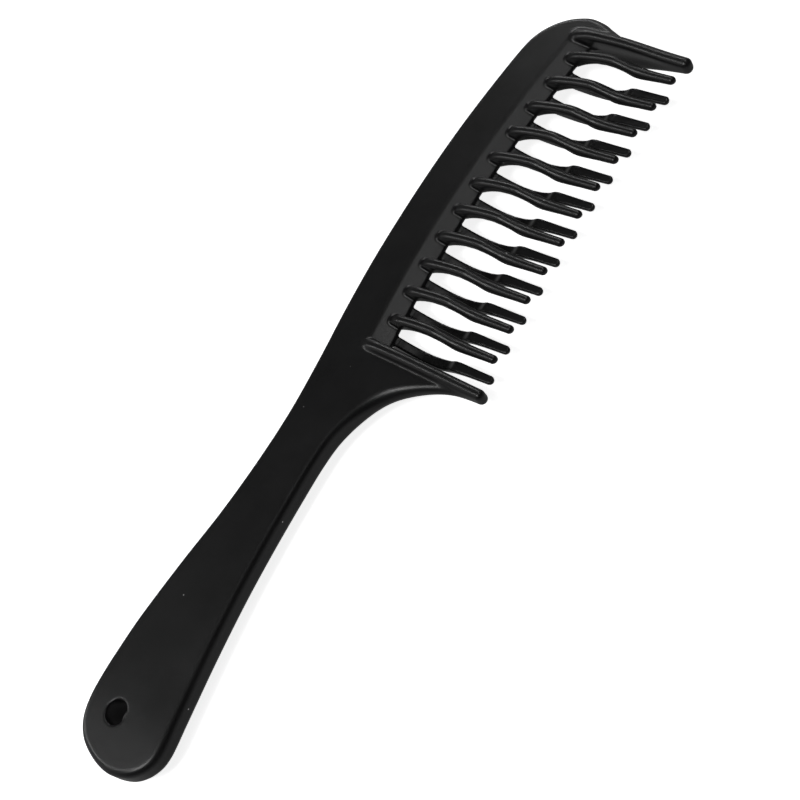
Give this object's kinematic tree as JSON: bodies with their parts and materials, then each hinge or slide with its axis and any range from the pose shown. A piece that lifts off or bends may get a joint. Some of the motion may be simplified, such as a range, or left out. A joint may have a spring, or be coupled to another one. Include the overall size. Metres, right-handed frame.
{
  "type": "wide tooth comb",
  "caption": "Detangling comb with a flat curved handle, a round hanging hole, a bevelled spine and two staggered rows of bowed wide teeth between solid guard teeth.",
  "frame": {"origin": "centre of the bounding box's base: the comb lies on its rear side", "axes": "+X from the handle towards the head end, +Y from the teeth towards the back of the spine, +Z out of the front face"},
  "size_m": [0.2394, 0.0562, 0.0129],
  "materials": {
    "plastic_front": "satin black moulded plastic",
    "plastic_rear": "satin black moulded plastic"
  },
  "bodies": {
    "root": {"front_half": "plastic_front", "rear_half": "plastic_rear"}
  },
  "joints": []
}
